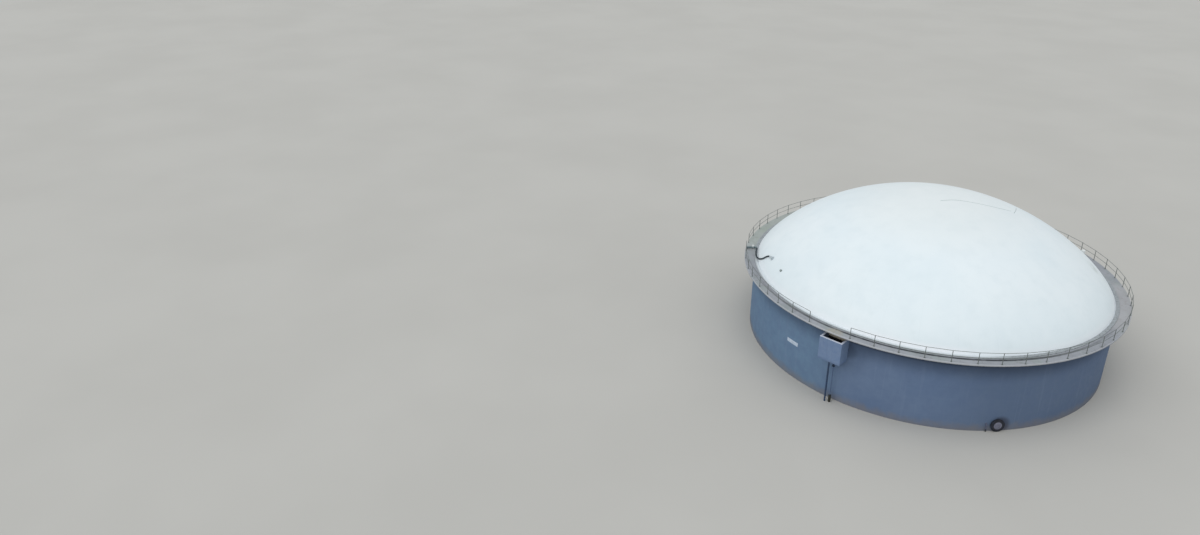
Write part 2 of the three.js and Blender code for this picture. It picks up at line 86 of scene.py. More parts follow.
GAS_PIPE_RADIUS = 0.08
GAS_PIPE_START = Vector((-13.184, -7.586, CLAMP_TOP + GAP + GAS_PIPE_RADIUS))
GAS_PIPE_HEADING = 44.5
GAS_PIPE_STRAIGHT = 0.7
GAS_FLANGE = 0.024
ELBOW_BEND = 0.18
ELBOW_TURN = 104.1
ELBOW_COLLAR = 0.03
SPIGOT_RADIUS = 13.312
SPIGOT_ANGLE = -133.1
STUB_LIFT = 0.1
STUB_REACH = 0.42
PORT_RADIUS = 13.333
PORT_ANGLE = -123.26

# Route of the gas hose: radius, angle and height of its axis over the clamp ring, then radius,
# angle and height of its axis over the fabric
HOSE_RADIUS = 0.06
HOSE_STRAIGHT = 0.12
HOSE_ON_RING = [
    (14.307, -148.4, 0.080), (14.310, -147.55, 0.077),
    (14.309, -146.7, 0.074), (14.307, -145.8, 0.072),
    (14.299, -144.85, 0.072), (14.284, -144.0, 0.073),
    (14.258, -143.2, 0.076),
]
HOSE_ON_DOME = [
    (14.104, -141.9, 0.072), (14.065, -140.9, 0.069),
    (14.013, -140.0, 0.067), (13.946, -139.15, 0.066),
    (13.870, -138.45, 0.066), (13.793, -137.9, 0.066),
    (13.713, -137.5, 0.066), (13.632, -137.15, 0.066),
    (13.559, -136.85, 0.066), (13.498, -136.45, 0.066),
    (13.451, -136.05, 0.067), (13.415, -135.55, 0.069),
]


def ring(radius, angle, z=0.0):
    turn = math.radians(angle)
    return Vector((radius * math.cos(turn), radius * math.sin(turn), z))


def dome_height(radius):
    return DOME_RISE * max(0.0, 1 - (radius / DOME_RADIUS) ** 2) ** DOME_POWER


def dome_normal(radius, angle):
    step = 0.005
    rise = dome_height(radius + step) - dome_height(radius - step)
    flat = Vector((-rise, 2 * step)).normalized()
    return ring(flat.x, angle, flat.y)


def dome_point(radius, angle, lift):
    foot = ring(radius, angle, DECK + dome_height(radius))
    return foot + dome_normal(radius, angle) * lift


def aimed(start, direction):
    """Matrix that puts a shape made along +Z at a point, along a direction."""
    turn = Vector((0, 0, 1)).rotation_difference(direction)
    return Matrix.Translation(start) @ turn.to_matrix().to_4x4()


def raised(place, z):
    """Matrix of a place, moved up along its own +Z."""
    return place @ Matrix.Translation((0, 0, z))


# Camera and light

CAMERA_PLACE = (26.36, -67.18, 38.61)
CAMERA_HEADING = 44.07
CAMERA_TILT = 66.97
CAMERA_ROLL = 0.2138
CAMERA_LENS = 26.08
CAMERA_SENSOR = 36
CAMERA_SHIFT = -0.0384
CAMERA_REACH = 4000

camera_data = bpy.data.cameras.new("camera")
camera = bpy.data.objects.new("camera", camera_data)
camera.matrix_world = (
    Matrix.Translation(CAMERA_PLACE)
    @ Matrix.Rotation(math.radians(CAMERA_HEADING), 4, "Z")
    @ Matrix.Rotation(math.radians(CAMERA_TILT), 4, "X")
    @ Matrix.Rotation(math.radians(CAMERA_ROLL), 4, "Z")
)
camera_data.lens = CAMERA_LENS
camera_data.sensor_width = CAMERA_SENSOR
camera_data.shift_y = CAMERA_SHIFT
camera_data.clip_end = CAMERA_REACH
bpy.context.collection.objects.link(camera)
bpy.context.scene.camera = camera
bpy.context.scene.view_settings.view_transform = "Standard"

LIGHTS = [
    # name, heading, height, strength, spread
    ("front_light", -93, 42, 0.80, 60),
    ("top_light", 0, 89, 0.40, 35),
]
LIGHT_DISTANCE = 60
SKY_COLOUR = (0.93, 0.97, 1.0, 1)
SKY_STRENGTH = 0.74

for name, heading, height, strength, spread in LIGHTS:
    light_data = bpy.data.lights.new(name, "SUN")
    light_data.energy = strength
    light_data.angle = math.radians(spread)
    light = bpy.data.objects.new(name, light_data)
    climb = math.radians(height)
    to_light = ring(math.cos(climb), heading, math.sin(climb))
    light.matrix_world = aimed(to_light * LIGHT_DISTANCE, to_light)
    bpy.context.collection.objects.link(light)

world = bpy.data.worlds.new("sky")
world.use_nodes = True
sky = world.node_tree.nodes["Background"]
sky.inputs["Color"].default_value = SKY_COLOUR
sky.inputs["Strength"].default_value = SKY_STRENGTH
bpy.context.scene.world = world


# Materials


def linear(code):
    """Linear colour of a six-digit sRGB code."""
    parts = [int(code[i : i + 2], 16) / 255 for i in (0, 2, 4)]
    return tuple(v / 12.92 if v <= 0.04045 else ((v + 0.055) / 1.055) ** 2.4 for v in parts) + (1,)


class Surface:
    """A procedural material, built up from noise, masks and blends in object space."""

    def __init__(self, metallic=0.0):
        self.material = bpy.data.materials.new("surface")
        self.material.use_nodes = True
        tree = self.material.node_tree
        tree.nodes.clear()
        self.tree = tree
        self.shader = tree.nodes.new("ShaderNodeBsdfPrincipled")
        self.shader.inputs["Metallic"].default_value = metallic
        output = tree.nodes.new("ShaderNodeOutputMaterial")
        tree.links.new(self.shader.outputs[0], output.inputs["Surface"])
        self.place = tree.nodes.new("ShaderNodeTexCoord").outputs["Object"]
        split = tree.nodes.new("ShaderNodeSeparateXYZ")
        tree.links.new(self.place, split.inputs[0])
        self.x, self.y, self.z = split.outputs
        self.normal = None

    def put(self, socket, value):
        if isinstance(value, bpy.types.NodeSocket):
            self.tree.links.new(value, socket)
        elif isinstance(value, str):
            socket.default_value = linear(value)
        else:
            socket.default_value = value

    def math(self, operation, a, b=0.0):
        node = self.tree.nodes.new("ShaderNodeMath")
        node.operation = operation
        self.put(node.inputs[0], a)
        self.put(node.inputs[1], b)
        return node.outputs[0]

    def product(self, first, *others):
        for other in others:
            first = self.math("MULTIPLY", first, other)
        return first

    def away(self, value, centre):
        """Distance of a value from another, without its sign."""
        return self.math("ABSOLUTE", self.math("SUBTRACT", value, centre))

    def angle(self):
        """Angle about the tank's axis in turns, from -0.5 to 0.5."""
        return self.math("DIVIDE", self.math("ARCTAN2", self.y, self.x), 2 * math.pi)

    def radius(self):
        squares = self.math("ADD", self.product(self.x, self.x), self.product(self.y, self.y))
        return self.math("SQRT", squares)

    def with_place(self, operation, other):
        """Outputs of a vector operation between the place on the object and another vector."""
        node = self.tree.nodes.new("ShaderNodeVectorMath")
        node.operation = operation
        self.put(node.inputs[0], self.place)
        node.inputs[1].default_value = other
        return node.outputs

    def noise(self, scale, detail, stretch=None, roughness=0.55):
        node = self.tree.nodes.new("ShaderNodeTexNoise")
        node.inputs["Scale"].default_value = scale
        node.inputs["Detail"].default_value = detail
        node.inputs["Roughness"].default_value = roughness
        place = self.with_place("MULTIPLY", stretch)[0] if stretch else self.place
        self.put(node.inputs["Vector"], place)
        return node.outputs[0]

    def cells(self, scale):
        """A random value for each of many small cells."""
        node = self.tree.nodes.new("ShaderNodeTexVoronoi")
        node.inputs["Scale"].default_value = scale
        self.put(node.inputs["Vector"], self.place)
        return node.outputs["Color"]

    def between(self, value, low, high, to_low=0.0, to_high=1.0):
        """Maps a range to another range smoothly, held at both ends."""
        node = self.tree.nodes.new("ShaderNodeMapRange")
        node.interpolation_type = "SMOOTHSTEP"
        self.put(node.inputs["Value"], value)
        node.inputs["From Min"].default_value = low
        node.inputs["From Max"].default_value = high
        node.inputs["To Min"].default_value = to_low
        node.inputs["To Max"].default_value = to_high
        return node.outputs["Result"]

    def within(self, value, start, full, fade, end):
        """Mask that rises from start to full, and falls again from fade to end."""
        rise = self.between(value, start, full)
        return self.product(rise, self.between(value, fade, end, 1.0, 0.0))

    def patches(self, scale, detail, low, high, stretch=None, roughness=0.55):
        """Mask of soft patches, from 0 where the noise is low to 1 where it is high."""
        return self.between(self.noise(scale, detail, stretch, roughness), low, high)

    def varied(self, scale, detail, low, high):
        """Value that drifts between two levels."""
        return self.between(self.noise(scale, detail), 0.3, 0.7, low, high)

    def ragged(self, scale, detail, amount, stretch=None):
        """Height with noise added, which makes the edge of a mask uneven."""
        return self.math("ADD", self.z, self.product(self.noise(scale, detail, stretch), amount))

    def spot(self, centre, inside, outside):
        """Mask of 1 near a point, that fades to 0 farther out."""
        distance = self.with_place("DISTANCE", centre)["Value"]
        return self.between(distance, inside, outside, 1.0, 0.0)

    def lines(self, value, count, width):
        """Mask of thin lines at equal steps of a value, with a count of lines for each unit."""
        share = self.math("FRACT", self.product(value, count))
        return self.between(self.away(share, 0.5), 0.5 - width, 0.5)

    def blend(self, factor, a, b):
        node = self.tree.nodes.new("ShaderNodeMix")
        node.data_type = "RGBA"
        self.put(node.inputs[0], factor)
        self.put(node.inputs[6], a)
        self.put(node.inputs[7], b)
        return node.outputs[2]

    def stain(self, colour, mask, share, other):
        """Colour with a share of another where the mask is 1."""
        return self.blend(self.product(mask, share), colour, other)

    def emboss(self, height, strength, distance):
        node = self.tree.nodes.new("ShaderNodeBump")
        node.inputs["Strength"].default_value = strength
        node.inputs["Distance"].default_value = distance
        self.put(node.inputs["Height"], height)
        if self.normal is not None:
            self.put(node.inputs["Normal"], self.normal)
        self.normal = node.outputs[0]

    def finish(self, colour, roughness, specular):
        self.put(self.shader.inputs["Base Color"], colour)
        self.put(self.shader.inputs["Roughness"], roughness)
        self.shader.inputs["Specular IOR Level"].default_value = specular
        if self.normal is not None:
            self.put(self.shader.inputs["Normal"], self.normal)
        return self.material


POUR_HEIGHT = 1.17
SHADE_BESIDE_BOX = (1.05, -14.36, 4.6)
SHADOW_BESIDE_MANHOLE = (10.90, -9.41, 0.5)
SPILL_ON_WALKWAY = (0.0, -15.2, 6.1)
SMEAR_ON_DOME = (11.17, 5.17, 8.19)


def wall_paint():
    """Blue-grey masonry paint: pour lines, faint runs, dust at the foot, darker at the top. It has
    painted light left of the box, painted shade to the right, at the back and under the walkway,
    and painted shadows beside the box and the manhole. Inside the box it is dark, with residue
    and painted shade, and has a pale crust higher up."""
    s = Surface()
    colour = s.blend(s.patches(0.22, 3, 0.35, 0.65), "637795", "6a7d99")
    back = s.between(s.angle(), -0.5, -0.45, 1.0, 0.0)
    # painted light: the wall is paler left of the box, where the light falls
    painted_light_left = s.between(s.angle(), -0.275, -0.235, 0.5, 0.0)
    painted_light_left = s.product(painted_light_left, s.math("SUBTRACT", 1.0, back))
    colour = s.blend(painted_light_left, colour, "6c8ca5")
    # painted shade: the wall is darker to the right and at the back, away from the light
    painted_shade_right_back = s.math("MAXIMUM", s.between(s.angle(), -0.175, -0.115), back)
    colour = s.stain(colour, painted_shade_right_back, 0.2, "10151d")
    colour = s.stain(colour, s.patches(1.4, 5, 0.3, 0.7), 0.35, "5b6d8c")
    runs = s.patches(1.0, 4, 0.55, 0.72, (3.4, 3.4, 0.16))
    colour = s.stain(colour, runs, 0.16, "7a8ba6")
    # darker towards the top of the wall
    dark_band = s.between(s.ragged(1.0, 4, 0.9, (1.6, 1.6, 0.5)), 4.3, 6.4)
    colour = s.stain(colour, dark_band, 0.42, "465470")
    # darker on the upper wall, more so to the right and at the back
    share = s.between(s.angle(), -0.3, -0.1, 0.22, 0.42)
    share = s.math("MAXIMUM", share, s.product(back, 0.42))
    upper_darkening = s.product(s.between(s.z, 3.9, 5.5), share)
    colour = s.blend(upper_darkening, colour, "1c222b")
    drips = s.product(s.patches(1.0, 3, 0.6, 0.74, (7.0, 7.0, 0.3)), s.between(s.z, 4.5, WALL_TOP))
    colour = s.stain(colour, drips, 0.4, "3f4c64")
    # painted shade on the wall under the walkway's overhang
    painted_shade_under_walkway = s.between(s.z, WALL_TOP - 0.73, WALL_TOP - 0.4)
    colour = s.stain(colour, painted_shade_under_walkway, 0.78, "1a212c")
    pours = s.lines(s.z, 1 / POUR_HEIGHT, 0.012)
    colour = s.stain(colour, pours, 0.18, "4f5f7b")
    dust = s.between(s.ragged(1.6, 4, -0.9), -0.45, 0.35, 0.6, 0.0)
    colour = s.blend(dust, colour, "7f7a78")
    chips = s.patches(5.0, 6, 0.7, 0.76, roughness=0.7)
    colour = s.stain(colour, chips, 0.3, "8c98a8")
    # painted shadow of the overflow box on the wall to its right
    shade = s.product(s.spot(SHADE_BESIDE_BOX, 0.3, 0.8), 0.22)
    shade = s.math("ADD", shade, s.product(s.spot(SHADE_BESIDE_BOX, 0.6, 2.4), 0.17))
    colour = s.blend(shade, colour, "10151d")
    # inside the box: dark residue with painted shade under the walkway, and a pale crust above
    across = s.between(s.math("ABSOLUTE", s.x), CHAMBER_HALF - 0.01, CHAMBER_HALF, 1.0, 0.0)
    before = s.between(s.y, -WALL_RADIUS + 0.1, -WALL_RADIUS + 0.12, 1.0, 0.0)
    depth = s.within(s.z, BOX_BOTTOM + 0.1, BOX_BOTTOM + 0.12, BOX_TOP - 0.12, BOX_TOP - 0.05)
    in_box = s.blend(s.between(s.ragged(6, 4, 0.12), 5.31, 5.37), "17181a", "b5ad9c")
    colour = s.blend(s.product(across, before, depth), colour, in_box)
    # painted shadow of the manhole neck on the wall to its right
    colour = s.stain(colour, s.spot(SHADOW_BESIDE_MANHOLE, 0.45, 0.85), 0.6, "3a3843")
    s.emboss(pours, 0.35, 0.006)
    s.emboss(s.noise(2.2, 3), 0.25, 0.02)
    s.emboss(s.noise(55, 4), 0.3, 0.003)
    return s.finish(colour, s.varied(3, 3, 0.74, 0.9), 0.25)


def box_paint():
    """The same paint on the overflow box, dark inside from residue and painted shade, a pale rim.
    """
    s = Surface()
    colour = s.blend(s.patches(2.2, 5, 0.3, 0.7), "6c81a2", "7689a6")
    colour = s.stain(colour, s.patches(1.0, 4, 0.52, 0.7, (6, 6, 0.35)), 0.22, "586a88")
    foot = s.between(s.z, BOX_BOTTOM, BOX_BOTTOM + 0.25, 0.3, 0.0)
    colour = s.blend(foot, colour, "4c5c76")
    # pale band along the box's top edge
    rim = s.between(s.z, BOX_TOP - 0.03, BOX_TOP - 0.004)
    colour = s.stain(colour, rim, 0.9, "c9cedb")
    across = s.between(
        s.math("ABSOLUTE", s.x), CHAMBER_HALF - 0.004, CHAMBER_HALF + 0.004, 1.0, 0.0
    )
    behind = s.between(s.y, CHAMBER_FRONT - 0.004, CHAMBER_FRONT + 0.004)
    depth = s.within(s.z, BOX_BOTTOM + 0.1, BOX_BOTTOM + 0.12, BOX_TOP - 0.09, BOX_TOP - 0.02)
    # dark inside: a residue stain together with painted shade under the walkway
    sludge_and_shade = s.blend(s.patches(4, 5, 0.35, 0.65), "1d1a18", "37322d")
    colour = s.blend(s.product(across, behind, depth), colour, sludge_and_shade)
    s.emboss(s.noise(3.0, 3), 0.25, 0.015)
    s.emboss(s.noise(60, 4), 0.3, 0.003)
    return s.finish(colour, s.varied(4, 3, 0.7, 0.88), 0.25)


def bare_concrete(light, dark, dirt):
    """Weathered concrete: cloudy patches, dirt, pale crust, slab joints, a mossy and a dry stretch.
    The walkway also has a dark line beside the clamp ring, dirt in the joint with painted shade,
    a spill over the box, and a pale front with a dark lower edge."""
    s = Surface()
    colour = s.blend(s.patches(0.7, 5, 0.3, 0.7), light, dark)
    colour = s.stain(colour, s.patches(0.5, 4, 0.5, 0.66), 0.5, "8f9996")
    colour = s.stain(colour, s.patches(2.6, 6, 0.52, 0.7, roughness=0.65), 0.45, dirt)
    colour = s.stain(colour, s.patches(5.5, 6, 0.58, 0.7, roughness=0.7), 0.35, "b4b8be")
    # dark line beside the clamp ring: dirt in the joint and painted shade
    joint_dirt_and_shade = s.within(
        s.radius(), CLAMP_OUTER + 0.07, CLAMP_OUTER + 0.15, CLAMP_OUTER + 0.28, CLAMP_OUTER + 0.36
    )
    joint_dirt_and_shade = s.product(joint_dirt_and_shade, s.within(s.angle(), -0.41, -0.22, -0.13, 0.03))
    joint_dirt_and_shade = s.product(joint_dirt_and_shade, s.between(s.noise(1.9, 4), 0.3, 0.6, 0.75, 1.0))
    colour = s.blend(joint_dirt_and_shade, colour, "3b3e42")
    mossy = s.between(s.math("ABSOLUTE", s.angle()), 0.4, 0.44, 0.0, 0.3)
    colour = s.blend(mossy, colour, "b4bfa8")
    dry = s.between(s.away(s.angle(), 0.045), 0.03, 0.06, 0.18, 0.0)
    colour = s.blend(dry, colour, "d0c8bf")
    spill = s.between(s.noise(7, 4), 0.35, 0.6, 0.3, 0.85)
    spill = s.product(s.spot(SPILL_ON_WALKWAY, 0.4, 0.8), spill)
    colour = s.blend(spill, colour, "9e998e")
    front = s.between(s.radius(), WALKWAY_RADIUS - 0.02, WALKWAY_RADIUS - 0.008)
    pale = s.between(s.z, WALKWAY_TOP - 0.12, WALKWAY_TOP - 0.07, 0.0, 0.75)
    colour = s.blend(s.product(front, pale), colour, "bfc2c8")
    # dark band along the lower edge of the walkway's front face
    runs = s.between(s.noise(1.0, 4, (8, 8, 0.7)), 0.3, 0.7, 0.035, 0.075)
    depth = s.math("ADD", s.z, runs)
    dark_band = s.between(depth, WALKWAY_TOP - 0.105, WALKWAY_TOP - 0.075, 1.0, 0.0)
    colour = s.stain(colour, s.product(dark_band, front), 0.92, "262e3a")
    joints = s.lines(s.angle(), 64, 0.004)
    colour = s.stain(colour, joints, 0.6, "6a6b69")
    s.emboss(s.math("SUBTRACT", 1.0, joints), 0.5, 0.006)
    s.emboss(s.noise(9, 5), 0.35, 0.008)
    s.emboss(s.noise(70, 3), 0.4, 0.003)
    return s.finish(colour, s.varied(6, 3, 0.82, 0.97), 0.2)


def zinc(light, dark, rust, metallic=0.55, pale_front_band=False):
    """Dull galvanised steel with mottling, dirt and a little rust. Where asked for, it is pale
    along the front of the clamp ring's inner edge."""
    s = Surface(metallic)
    colour = s.blend(s.between(s.cells(38), 0.2, 0.8), light, dark)
    colour = s.stain(colour, s.patches(7, 5, 0.45, 0.7), 0.5, "5d5f5b")
    if pale_front_band:
        # paler band along the front of the clamp ring's inner edge
        band = s.between(s.radius(), CLAMP_INNER + 0.12, CLAMP_INNER + 0.27, 1.0, 0.15)
        band = s.product(band, s.within(s.angle(), -0.41, -0.375, -0.14, -0.11))
        colour = s.blend(band, colour, "d2d9dd")
    colour = s.stain(colour, s.patches(16, 5, 0.62, 0.72, roughness=0.7), rust, "6d4a33")
    s.emboss(s.noise(110, 3), 0.25, 0.001)
    return s.finish(colour, s.varied(12, 3, 0.42, 0.66), 0.5)


def coated_fabric():
    """White coated fabric: welded gores, a faint grain, painted light at the foot, a dusty crown,
    soft stains.
    """
    s = Surface()
    colour = s.blend(s.patches(0.13, 3, 0.35, 0.65), "e3ebee", "dde7eb")
    colour = s.stain(colour, s.patches(0.9, 5, 0.4, 0.75), 0.22, "cfdbe0")
    welds = s.product(s.lines(s.angle(), 32, 0.012), s.between(s.radius(), 1.0, 5.0))
    colour = s.stain(colour, welds, 0.10, "c5d1d6")
    runs = s.patches(1.0, 4, 0.56, 0.74, (1.2, 1.2, 0.35))
    low = s.between(s.z, 6.4, 10.5, 1.0, 0.0)
    colour = s.stain(colour, s.product(runs, low), 0.15, "cad6d8")
    # painted light: the dome's foot is painted paler, most at the front
    foot = s.between(s.z, DECK + 0.1, DECK + 0.6, 1.0, 0.0)
    sunlit = s.between(s.away(s.angle(), -0.19), 0.02, 0.06, 0.95, 0.5)
    colour = s.blend(s.product(foot, sunlit), colour, "eceff3")
    crown = s.between(s.z, 10.4, 12.8, 0.0, 0.3)
    colour = s.blend(crown, colour, "dfded7")
    smear = s.product(s.spot(SMEAR_ON_DOME, 0.15, 0.9), s.patches(1.1, 3, 0.3, 0.6))
    colour = s.stain(colour, smear, 0.55, "a9b3ac")
    s.emboss(welds, 0.3, 0.004)
    s.emboss(s.noise(0.8, 2), 0.12, 0.03)
    s.emboss(s.noise(160, 2), 0.12, 0.001)
    s.shader.inputs["Sheen Weight"].default_value = 0.05
    return s.finish(colour, s.varied(2.5, 4, 0.42, 0.52), 0.45)


def paint(main, worn, dirt, rust=0.0, grain=40, roughness=(0.45, 0.7), dark=None):
    """Weathered metal paint with worn spots, dirt and, where asked for, rust and a dark stretch."""
    s = Surface()
    colour = s.blend(s.patches(4, 4, 0.3, 0.7), main, worn)
    colour = s.stain(colour, s.patches(9, 5, 0.45, 0.7), 0.45, dirt)
    colour = s.stain(colour, s.patches(30, 4, 0.62, 0.7, (1, 1, 0.3)), 0.3, worn)
    if rust:
        spots = s.patches(13, 6, 0.55, 0.68, roughness=0.7)
        colour = s.stain(colour, spots, rust, "6a4631")
        s.emboss(spots, 0.3, 0.002)
    if dark:
        low, high, tint = dark
        colour = s.blend(s.within(s.z, low - 0.04, low, high, high + 0.04), colour, tint)
    s.emboss(s.noise(grain, 3), 0.2, 0.002)
    return s.finish(colour, s.varied(8, 3, *roughness), 0.4)


def ground():
    s = Surface()
    colour = s.blend(s.patches(0.05, 3, 0.3, 0.7), "b9b7b2", "bdbbb6")
    s.emboss(s.noise(2, 3), 0.1, 0.02)
    return s.finish(colour, 0.95, 0.1)


LOOKS = {
    "floor_concrete": bare_concrete("8f918e", "7d807e", "63625e"),
    "wall_paint": wall_paint(),
    "walkway_concrete": bare_concrete("9ea1a7", "92959b", "7a7775"),
    "galvanised": zinc("7f8582", "6e7472", 0.5),
    "membrane": coated_fabric(),
    "strip": paint("9aa8a8", "aab6b5", "86908f"),
    "clamp_metal": zinc("9fa5a9", "92989c", 0.12, 0.08, pale_front_band=True),
    "spigot_paint": paint("b5c0c6", "c3ccd0", "8e979b"),
    "port_paint": paint("8b9695", "9ba5a3", "6d7472"),
    "white_paint": paint("e6e9e8", "d6dad9", "aeb2ae", 0.2),
    "gas_pipe_paint": paint("5a6b70", "738387", "3a4345", 0.3),
    "hose_fabric": paint("1e2830", "2a343c", "3f484e", 0.0, 90, (0.6, 0.8)),
    "box_paint": box_paint(),
    "dark_pipe_paint": paint("22364f", "2e4566", "3a4858", 0.15),
    "drain": paint("4c6080", "586b88", "4d5b70", 0.1, dark=(3.1, 3.8, "182d45")),
    "foot": paint("545970", "5f6478", "50535f", 0.1, dark=(-0.1, 0.22, "22242f")),
    "rusted_steel": paint("23241f", "33342b", "4a4a3c", 0.3, 25, (0.75, 0.95)),
    "plate_paint": paint("b9c8dc", "c6d2e0", "97a1ac"),
    "manhole_paint": paint("171b26", "222838", "3a3a3a", 0.3),
    "cover_paint": paint("7a7b8b", "6f7080", "4d4e5a", 0.15),
    "stage": ground(),
}
for name, material in LOOKS.items():
    material.name = name


# Geometry


class Shape:
    """Collects vertices and faces of closed forms."""

    def __init__(self):
        self.points = []
        self.faces = []

    def add(self, points, faces, place=None):
        first = len(self.points)
        self.points += [place @ Vector(p) if place else Vector(p) for p in points]
        self.faces += [[first + i for i in face] for face in faces]
        return self

    def turned(self, profile, sides, place=None, edge=0.0, start=0.0, sweep=360.0):
        """Turns (radius, z) pairs about +Z, with the corners rounded where an edge is given. An
        open profile runs from axis to axis."""
        closed = profile[0][0] > 0
        if edge:
            profile = rounded(profile, edge, closed)
        whole = sweep == 360
        steps = sides if whole else sides + 1
        points = []
        for i in range(steps):
            turn = math.radians(start + sweep * i / sides)
            points += [(r * math.cos(turn), r * math.sin(turn), z) for r, z in profile]
        count = len(profile)
        rows = count if closed else count - 1
        faces = []
        for i in range(sides):
            here = i * count
            there = ((i + 1) % steps) * count
            for j in range(rows):
                k = (j + 1) % count
                corners = [here + j, there + j, there + k, here + k]
                if not closed and j == 0:
                    corners = [0, there + k, here + k]
                elif not closed and j == rows - 1:
                    corners = [here + j, there + j, count - 1]
                faces.append(corners)
        if not whole:
            faces.append(list(range(count)))
            faces.append([(steps - 1) * count + j for j in reversed(range(count))])
        if not closed:
            keep = [i for i in range(len(points)) if i < count or 0 < i % count < count - 1]
            place_of = {old: new for new, old in enumerate(keep)}
            points = [points[i] for i in keep]
            faces = [[place_of[i] for i in face] for face in faces]
        return self.add(points, faces, place)

    def rod(self, radius, bottom, top, sides, place, edge=0.0):
        """Solid cylinder about +Z."""
        return self.turned(rectangle(0, radius, bottom, top), sides, place, edge)

    def washer(self, inner, outer, bottom, top, sides, place, edge=0.0):
        """Flat ring about +Z."""
        return self.turned(rectangle(inner, outer, bottom, top), sides, place, edge)

    def swept(self, line, radii, sides):
        """Tube along a line of points, with a radius for each point and closed ends."""
        line = [Vector(p) for p in line]
        headings = []
        for i in range(len(line)):
            before = line[max(i - 1, 0)]
            after = line[min(i + 1, len(line) - 1)]
            headings.append((after - before).normalized())
        side = headings[0].orthogonal().normalized()
        points = []
        for i, point in enumerate(line):
            if i:
                turn = headings[i - 1].rotation_difference(headings[i])
                side = turn @ side
            side = (side - headings[i] * side.dot(headings[i])).normalized()
            up = headings[i].cross(side)
            for j in range(sides):
                a = 2 * math.pi * j / sides
                points.append(point + (side * math.cos(a) + up * math.sin(a)) * radii[i])
        faces = []
        for i in range(len(line) - 1):
            for j in range(sides):
                k = (j + 1) % sides
                a = i * sides
                b = a + sides
                faces.append([a + j, a + k, b + k, b + j])
        last = (len(line) - 1) * sides
        faces.append(list(reversed(range(sides))))
        faces.append([last + j for j in range(sides)])
        return self.add(points, faces)

    def block(self, low, high, place):
        xs, ys, zs = zip(low, high)
        corners = [(x, y, z) for z in zs for y in ys for x in xs]
        faces = [[0, 2, 3, 1], [4, 5, 7, 6], [0, 1, 5, 4], [2, 6, 7, 3], [0, 4, 6, 2], [1, 3, 7, 5]]
        return self.add(corners, faces, place)

    def prism(self, plan, bottom, top):
        """Upright form over a plan of (x, y) points."""
        count = len(plan)
        points = [(x, y, z) for z in (bottom, top) for x, y in plan]
        faces = [[j, (j + 1) % count, count + (j + 1) % count, count + j] for j in range(count)]
        faces += [list(reversed(range(count))), [count + j for j in range(count)]]
        return self.add(points, faces)

    def bolt(self, place, size):
        """Hexagon nut on a washer with the end of its stud; size is the stud's diameter."""
        self.rod(1.05 * size, 0, 0.18 * size, 14, place)
        nut = [(0, 0.18), (0.82, 0.18), (0.92, 0.26), (0.92, 0.86), (0.8, 0.96), (0, 0.96)]
        self.turned([(r * size, z * size) for r, z in nut], 6, place)
        self.rod(0.5 * size, 0.9 * size, 1.3 * size, 10, place)
        return self

    def bolts(self, place, circle, count, size, turn=0.0):
        for i in range(count):
            self.bolt(place @ Matrix.Translation(ring(circle, turn + 360 * i / count)), size)
        return self

    def piece(self, name, slot, *replaced, look=None, sharp=38, bevel=0.0):
        """Makes the shape a piece of the scene, in the look of its slot or in one of its own."""
        mesh = bpy.data.meshes.new(name)
        mesh.from_pydata([tuple(p) for p in self.points], [], self.faces)
        for polygon in mesh.polygons:
            polygon.use_smooth = True
        mesh.set_sharp_from_angle(angle=math.radians(sharp))
        obj = bpy.data.objects.new(name, mesh)
        bpy.context.collection.objects.link(obj)
        mesh.materials.append(LOOKS[look or slot])
        if bevel:
            modifier = obj.modifiers.new("edges", "BEVEL")
            modifier.width = bevel
            modifier.segments = 2
            modifier.limit_method = "ANGLE"
            modifier.angle_limit = math.radians(40)
        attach(obj, "root")
        if replaced:
            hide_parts(*replaced)
        return obj


def rectangle(inner, outer, bottom, top):
    """Profile with four corners, as (radius, z) pairs."""
    return [(inner, bottom), (outer, bottom), (outer, top), (inner, top)]


ROUND_STEPS = 3


def rounded(profile, edge, closed):
    """Rounds the corners of a profile of (radius, z) pairs. The ends of an open one stay."""
    points = [Vector(p) for p in profile]
    count = len(points)
    result = []
    for i, point in enumerate(points):
        if not closed and i in (0, count - 1):
            result.append(tuple(point))
            continue
        before = points[i - 1] - point
        after = points[(i + 1) % count] - point
        reach = min(edge, 0.45 * before.length, 0.45 * after.length)
        start = point + before.normalized() * reach
        end = point + after.normalized() * reach
        for k in range(ROUND_STEPS + 1):
            t = k / ROUND_STEPS
            result.append(tuple(start * (1 - t) ** 2 + point * (2 * t * (1 - t)) + end * t**2))
    return result


# Gas hose

ELBOW_STEPS = 20
HOSE_STEPS = 40
HOSE_SIDES = 20
RIB_PITCH = 0.03
RIB_DEPTH = 0.0022
CLIP_OFFSETS = (0.03, 0.075)
CLIP_INNER = 0.0585
CLIP_OUTER = 0.0622
CLIP_WIDTH = 0.016
LUG_OUTER = 0.075
LUG_WIDTH = 0.024

pipe_out = ring(1, GAS_PIPE_HEADING)
pipe_side = ring(1, GAS_PIPE_HEADING - 90)
elbow_out = ring(1, GAS_PIPE_HEADING - ELBOW_TURN)
elbow_start = GAS_PIPE_START + pipe_out * GAS_PIPE_STRAIGHT


def elbow_point(share):
    """Point on the axis of the gas pipe's elbow, at a share of its turn."""
    turn = math.radians(ELBOW_TURN * share)
    ahead = pipe_out * (ELBOW_BEND * math.sin(turn))
    return elbow_start + ahead + pipe_side * (ELBOW_BEND * (1 - math.cos(turn)))


elbow_line = [elbow_point(step / ELBOW_STEPS) for step in range(ELBOW_STEPS + 1)]
elbow_end = elbow_line[-1]

